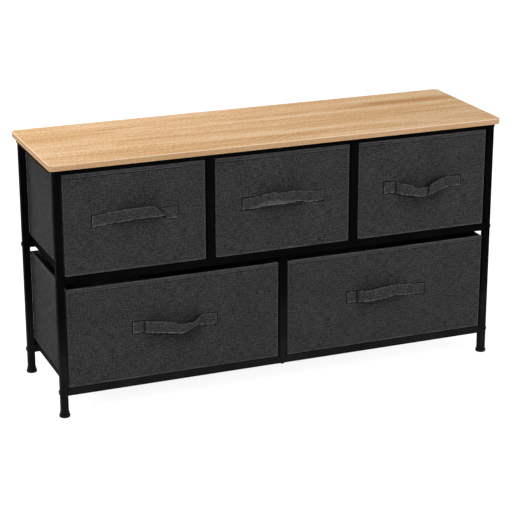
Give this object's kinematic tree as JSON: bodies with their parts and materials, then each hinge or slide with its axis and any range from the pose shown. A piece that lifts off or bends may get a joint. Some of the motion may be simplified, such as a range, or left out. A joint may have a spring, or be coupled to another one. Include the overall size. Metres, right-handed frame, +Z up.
{
  "type": "fabric drawer dresser",
  "caption": "Low wide dresser: fabric box drawers with strap handles in a black square-tube steel frame, under a thin oak-look board, on small round feet.",
  "frame": {"origin": "middle of the footprint, on the floor", "axes": "+Z up, +X along the width to the right, -Y out of the front where the drawers open"},
  "size_m": [1, 0.3, 0.54],
  "materials": {
    "oak_laminate": "matt oak-look paper laminate",
    "black_frame": "satin black powder coat",
    "black_fastener": "black oxide",
    "zinc_steel": "zinc plated",
    "black_plastic": "moulded black plastic",
    "drawer_fabric": "charcoal linen-look non-woven fabric",
    "strap_fabric": "charcoal linen-look fabric, folded and stitched",
    "fibreboard": "thin grey-brown fibre board"
  },
  "bodies": {
    "frame": {"back_left_leg": "black_frame", "back_right_leg": "black_frame", "board_screws": "zinc_steel", "bottom_back_rail": "black_frame", "bottom_cross_rail_1": "black_frame", "bottom_cross_rail_2": "black_frame", "bottom_cross_rail_3": "black_frame", "bottom_cross_rail_4": "black_frame", "bottom_front_rail": "black_frame", "divider_end_plugs": "black_plastic", "frame_bolts": "black_fastener", "front_left_leg": "black_frame", "front_right_leg": "black_frame", "leg_end_plugs": "black_plastic", "lower_back_divider": "black_frame", "lower_front_divider": "black_frame", "middle_back_rail": "black_frame", "middle_cross_rail_1": "black_frame", "middle_cross_rail_2": "black_frame", "middle_cross_rail_3": "black_frame", "middle_cross_rail_4": "black_frame", "middle_cross_rail_5": "black_frame", "middle_cross_rail_6": "black_frame", "middle_front_rail": "black_frame", "rail_end_inserts": "zinc_steel", "stop_brackets": "black_frame", "stop_screws": "black_fastener", "top_back_rail": "black_frame", "top_board": "oak_laminate", "top_front_rail": "black_frame", "top_left_rail": "black_frame", "top_right_rail": "black_frame", "upper_back_divider_left": "black_frame", "upper_back_divider_right": "black_frame", "upper_front_divider_left": "black_frame", "upper_front_divider_right": "black_frame"},
    "upper_left_drawer": {"upper_left_drawer_base": "fibreboard", "upper_left_drawer_cover": "drawer_fabric", "upper_left_drawer_handle": "strap_fabric", "upper_left_drawer_stiffeners": "fibreboard"},
    "upper_middle_drawer": {"upper_middle_drawer_base": "fibreboard", "upper_middle_drawer_cover": "drawer_fabric", "upper_middle_drawer_handle": "strap_fabric", "upper_middle_drawer_stiffeners": "fibreboard"},
    "upper_right_drawer": {"upper_right_drawer_base": "fibreboard", "upper_right_drawer_cover": "drawer_fabric", "upper_right_drawer_handle": "strap_fabric", "upper_right_drawer_stiffeners": "fibreboard"},
    "lower_left_drawer": {"lower_left_drawer_base": "fibreboard", "lower_left_drawer_cover": "drawer_fabric", "lower_left_drawer_handle": "strap_fabric", "lower_left_drawer_stiffeners": "fibreboard"},
    "lower_right_drawer": {"lower_right_drawer_base": "fibreboard", "lower_right_drawer_cover": "drawer_fabric", "lower_right_drawer_handle": "strap_fabric", "lower_right_drawer_stiffeners": "fibreboard"},
    "back_left_foot": {"back_left_foot": "black_plastic"},
    "back_right_foot": {"back_right_foot": "black_plastic"},
    "front_left_foot": {"front_left_foot": "black_plastic"},
    "front_right_foot": {"front_right_foot": "black_plastic"}
  },
  "joints": [
    {"name": "upper_left_drawer_slide", "type": "slide", "parent": "frame", "child": "upper_left_drawer", "axis": [0, -1, 0], "range_m": [0, 0.2]},
    {"name": "upper_middle_drawer_slide", "type": "slide", "parent": "frame", "child": "upper_middle_drawer", "axis": [0, -1, 0], "range_m": [0, 0.2]},
    {"name": "upper_right_drawer_slide", "type": "slide", "parent": "frame", "child": "upper_right_drawer", "axis": [0, -1, 0], "range_m": [0, 0.2]},
    {"name": "lower_left_drawer_slide", "type": "slide", "parent": "frame", "child": "lower_left_drawer", "axis": [0, -1, 0], "range_m": [0, 0.2]},
    {"name": "lower_right_drawer_slide", "type": "slide", "parent": "frame", "child": "lower_right_drawer", "axis": [0, -1, 0], "range_m": [0, 0.2]},
    {"name": "back_left_foot_turn", "type": "hinge", "parent": "frame", "child": "back_left_foot", "pos_m": [-0.4835, 0.1305, 0], "axis": [0, 0, -1], "range_deg": [0, 1800]},
    {"name": "back_right_foot_turn", "type": "hinge", "parent": "frame", "child": "back_right_foot", "pos_m": [0.4835, 0.1305, 0], "axis": [0, 0, -1], "range_deg": [0, 1800]},
    {"name": "front_left_foot_turn", "type": "hinge", "parent": "frame", "child": "front_left_foot", "pos_m": [-0.4835, -0.1305, 0], "axis": [0, 0, -1], "range_deg": [0, 1800]},
    {"name": "front_right_foot_turn", "type": "hinge", "parent": "frame", "child": "front_right_foot", "pos_m": [0.4835, -0.1305, 0], "axis": [0, 0, -1], "range_deg": [0, 1800]}
  ]
}
